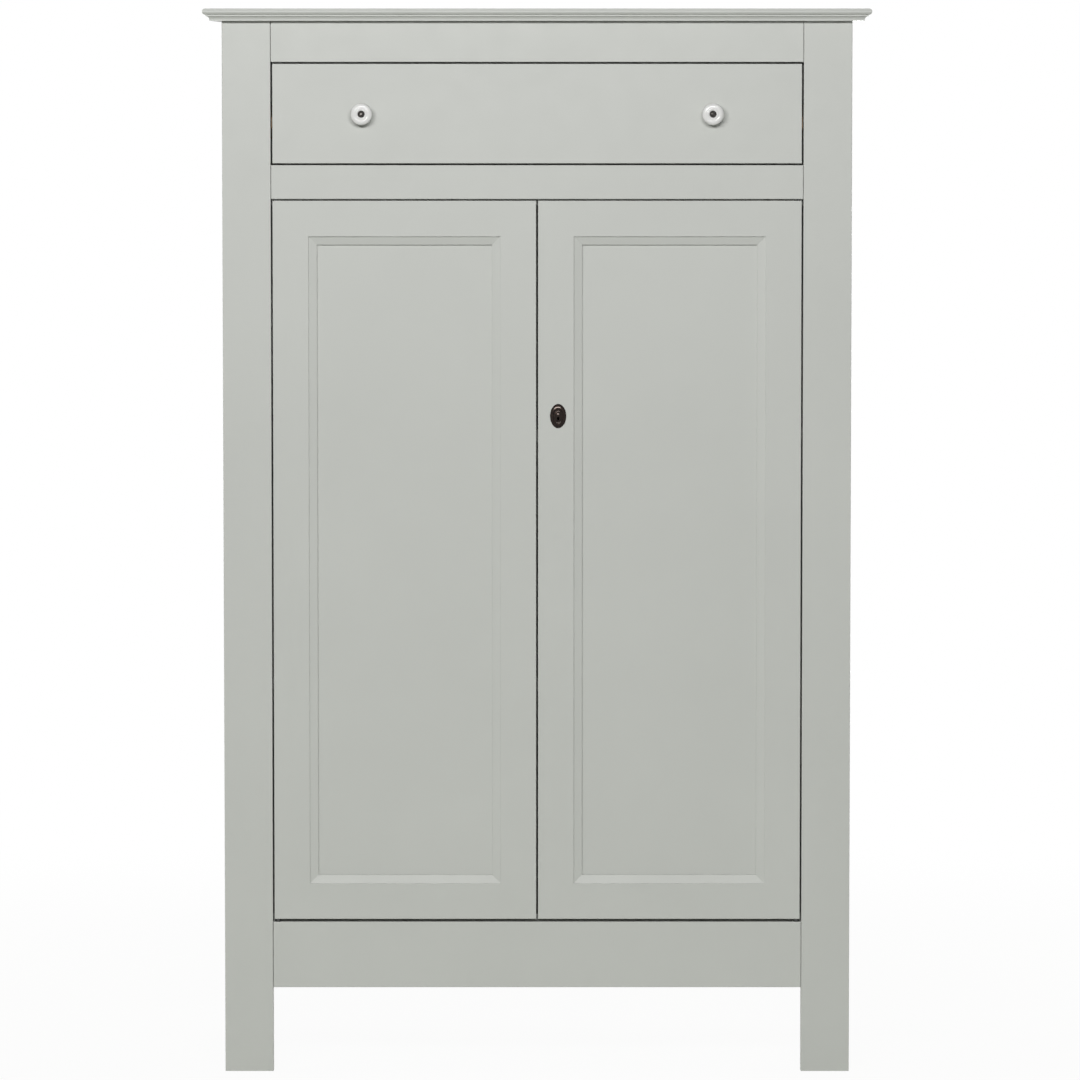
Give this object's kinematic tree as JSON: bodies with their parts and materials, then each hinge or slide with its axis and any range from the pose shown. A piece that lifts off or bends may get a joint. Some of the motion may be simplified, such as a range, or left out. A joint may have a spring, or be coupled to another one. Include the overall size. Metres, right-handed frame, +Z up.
{
  "type": "highboard",
  "caption": "Tall painted cupboard on straight legs: moulded top, drawer with ceramic knobs over a pair of inset panelled doors with a lock, shelves inside.",
  "frame": {"origin": "on the floor, under the middle of the top board", "axes": "+Z up, the front with the drawer and doors faces -Y, +X to the right seen from the front"},
  "size_m": [0.8728, 0.4, 1.4],
  "materials": {
    "painted_wood": "pale grey satin paint",
    "painted_board": "pale grey matt paint",
    "hardboard": "raw hardboard, painted on the inside",
    "pine": "bare planed pine",
    "beech": "bare beech",
    "zinc_steel": "zinc plated",
    "brass": "turned",
    "nylon": "moulded, black",
    "antique_bronze": "dark antique bronze",
    "dark_steel": "aged dark nickel",
    "glazed_ceramic": "white glaze"
  },
  "bodies": {
    "carcass": {"top_board": "painted_wood", "front_post_left": "painted_wood", "front_post_right": "painted_wood", "side_panel_left": "painted_wood", "side_panel_right": "painted_wood", "top_rail": "painted_wood", "middle_rail": "painted_wood", "bottom_rail": "painted_wood", "floor_panel": "painted_board", "divider_panel": "painted_board", "back_panel": "hardboard", "rear_top_rail": "painted_board", "shelf_upper": "painted_board", "shelf_lower": "painted_board", "shelf_pins": "zinc_steel", "floor_cleats": "pine", "divider_cleats": "pine", "top_cleats": "pine", "runner_bearer_left": "pine", "runner_bearer_right": "pine", "drawer_runner_left": "beech", "drawer_runner_right": "beech", "pivot_pins": "zinc_steel", "pivot_washers": "nylon"},
    "drawer": {"drawer_front": "painted_wood", "drawer_side_left": "pine", "drawer_side_right": "pine", "drawer_back": "pine", "drawer_bottom": "hardboard", "knob_left": "glazed_ceramic", "knob_right": "glazed_ceramic", "knob_bolts": "dark_steel", "knob_washers": "zinc_steel", "knob_nuts": "zinc_steel"},
    "left_door": {"left_door_hinge_stile": "painted_wood", "left_door_meeting_stile": "painted_wood", "left_door_top_rail": "painted_wood", "left_door_bottom_rail": "painted_wood", "left_door_panel": "painted_wood", "left_door_bushes": "brass", "lock_keep": "zinc_steel", "slide_bolt_case": "zinc_steel"},
    "right_door": {"right_door_hinge_stile": "painted_wood", "right_door_meeting_stile": "painted_wood", "right_door_top_rail": "painted_wood", "right_door_bottom_rail": "painted_wood", "right_door_panel": "painted_wood", "right_door_bushes": "brass", "escutcheon": "antique_bronze", "lock_case": "zinc_steel"},
    "lock_bolt": {"lock_bolt": "zinc_steel"},
    "slide_bolt": {"slide_bolt": "zinc_steel"}
  },
  "joints": [
    {"name": "drawer_slide", "type": "slide", "parent": "carcass", "child": "drawer", "axis": [0, -1, 0], "range_m": [0, 0.25]},
    {"name": "left_door_swing", "type": "hinge", "parent": "carcass", "child": "left_door", "pos_m": [-0.3419, -0.171, 0.2], "axis": [0, 0, -1], "range_deg": [0, 105]},
    {"name": "right_door_swing", "type": "hinge", "parent": "carcass", "child": "right_door", "pos_m": [0.3419, -0.171, 0.2], "axis": [0, 0, 1], "range_deg": [0, 105]},
    {"name": "lock_bolt_slide", "type": "slide", "parent": "right_door", "child": "lock_bolt", "axis": [-1, 0, 0], "range_m": [0, 0.012]},
    {"name": "slide_bolt_slide", "type": "slide", "parent": "left_door", "child": "slide_bolt", "axis": [0, 0, 1], "range_m": [0, 0.01]}
  ]
}
